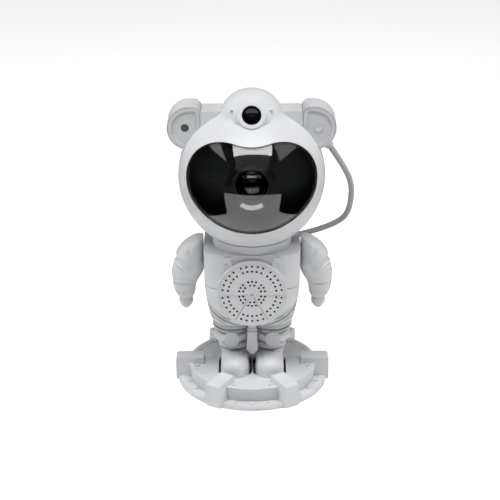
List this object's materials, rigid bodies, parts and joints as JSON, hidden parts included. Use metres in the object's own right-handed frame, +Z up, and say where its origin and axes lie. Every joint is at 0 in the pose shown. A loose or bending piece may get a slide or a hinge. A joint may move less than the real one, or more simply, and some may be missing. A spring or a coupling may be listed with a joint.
{
  "type": "star projector",
  "caption": "Astronaut-shaped bedside star and nebula projector with a tilting round head, mirror visor, ear pods, chest speaker and round platform.",
  "frame": {"origin": "centre of the foot pad's underside, on the table", "axes": "+Z up, the visor faces -Y, +X to the right in the picture"},
  "size_m": [0.1336, 0.11, 0.224],
  "materials": {
    "white_shell": "fine satin moulding",
    "grey_trim": "fine satin moulding",
    "rubber_pad": "matt",
    "steel": "ground",
    "screw_steel": "zinc plated",
    "smoked_visor": "mirror gloss",
    "black_plastic": "matt",
    "paper_cone": "matt paper",
    "board_green": "solder mask",
    "clear_glass": "polished",
    "star_glass": "coated",
    "magnet_metal": "plated",
    "brass": "turned",
    "heat_sink_metal": "extruded",
    "braided_lead": "braided",
    "dark_window": "satin"
  },
  "bodies": {
    "stand": {"base_platform": "white_shell", "foot_pad": "rubber_pad", "base_cover": "white_shell", "base_weight": "steel", "boots": "white_shell", "legs": "white_shell", "knee_pads": "white_shell", "torso_front": "white_shell", "torso_rear": "white_shell", "body_screws": "screw_steel", "neck_seat": "white_shell", "magnet_cap": "white_shell", "speaker_grille": "white_shell", "speaker_basket": "black_plastic", "speaker_cone": "paper_cone", "speaker_magnet": "steel", "backpack_cover": "white_shell", "button_board": "board_green", "body_circuit_board": "board_green", "power_socket": "steel", "body_lead_gland": "grey_trim", "head_lead_lower": "braided_lead"},
    "neck": {"neck_magnet": "magnet_metal"},
    "head": {"head_front_shell": "white_shell", "head_rear_shell": "white_shell", "visor": "smoked_visor", "visor_bezel": "black_plastic", "forehead_dome": "white_shell", "turret_collar": "white_shell", "turret_ring": "white_shell", "star_lens": "star_glass", "laser_module": "brass", "left_ear_cover": "grey_trim", "right_ear_cover": "grey_trim", "ir_receiver": "dark_window", "ear_switch": "black_plastic", "optics_plate": "black_plastic", "lens_holder": "black_plastic", "nebula_lens": "clear_glass", "wheel_axle": "steel", "nebula_motor": "steel", "motor_bracket": "steel", "lamp_board": "board_green", "heat_sink": "heat_sink_metal", "head_circuit_board": "board_green", "head_magnet": "magnet_metal", "head_screws": "screw_steel", "head_lead_gland": "grey_trim", "head_lead_upper": "braided_lead"},
    "left_arm": {"left_arm": "white_shell"},
    "right_arm": {"right_arm": "white_shell"},
    "star_button": {"star_button": "grey_trim"},
    "nebula_button": {"nebula_button": "grey_trim"},
    "speaker_button": {"speaker_button": "grey_trim"},
    "ear_button": {"ear_button": "grey_trim"},
    "nebula_wheel": {"nebula_wheel": "black_plastic", "ripple_glass": "clear_glass"},
    "motor_pinion": {"motor_pinion": "brass"}
  },
  "joints": [
    {"name": "head_turn", "type": "hinge", "parent": "stand", "child": "neck", "pos_m": [0, 0, 0.1605], "axis": [0, 0, 1], "range_deg": [-30, 30], "deforming": ["head_lead_lower", "head_lead_upper"]},
    {"name": "head_tilt", "type": "hinge", "parent": "neck", "child": "head", "pos_m": [0, 0, 0.1605], "axis": [1, 0, 0], "range_deg": [-25, 15], "deforming": ["head_lead_lower", "head_lead_upper"]},
    {"name": "left_arm_swing", "type": "hinge", "parent": "stand", "child": "left_arm", "pos_m": [-0.0326, 0, 0.102], "axis": [1, 0, 0], "range_deg": [-120, 45]},
    {"name": "right_arm_swing", "type": "hinge", "parent": "stand", "child": "right_arm", "pos_m": [0.0326, 0, 0.102], "axis": [1, 0, 0], "range_deg": [-120, 45]},
    {"name": "star_button_press", "type": "slide", "parent": "stand", "child": "star_button", "axis": [0, -1, 0], "range_m": [0, 0.0007], "stiffness_N_per_m": 1500},
    {"name": "nebula_button_press", "type": "slide", "parent": "stand", "child": "nebula_button", "axis": [0, -1, 0], "range_m": [0, 0.0007], "stiffness_N_per_m": 1500},
    {"name": "speaker_button_press", "type": "slide", "parent": "stand", "child": "speaker_button", "axis": [0, -1, 0], "range_m": [0, 0.0007], "stiffness_N_per_m": 1500},
    {"name": "ear_button_press", "type": "slide", "parent": "head", "child": "ear_button", "axis": [0, 1, 0], "range_m": [0, 0.0008], "stiffness_N_per_m": 1500},
    {"name": "nebula_wheel_spin", "type": "hinge", "parent": "head", "child": "nebula_wheel", "pos_m": [0, -0.0098, 0.1725], "axis": [0, 1, 0], "continuous": true},
    {"name": "motor_pinion_spin", "type": "hinge", "parent": "head", "child": "motor_pinion", "pos_m": [0.01888, -0.0098, 0.1834], "axis": [0, 1, 0], "continuous": true}
  ],
  "couplings": [
    {"joint": "motor_pinion_spin", "follows": "nebula_wheel_spin", "ratio": -4.8}
  ]
}
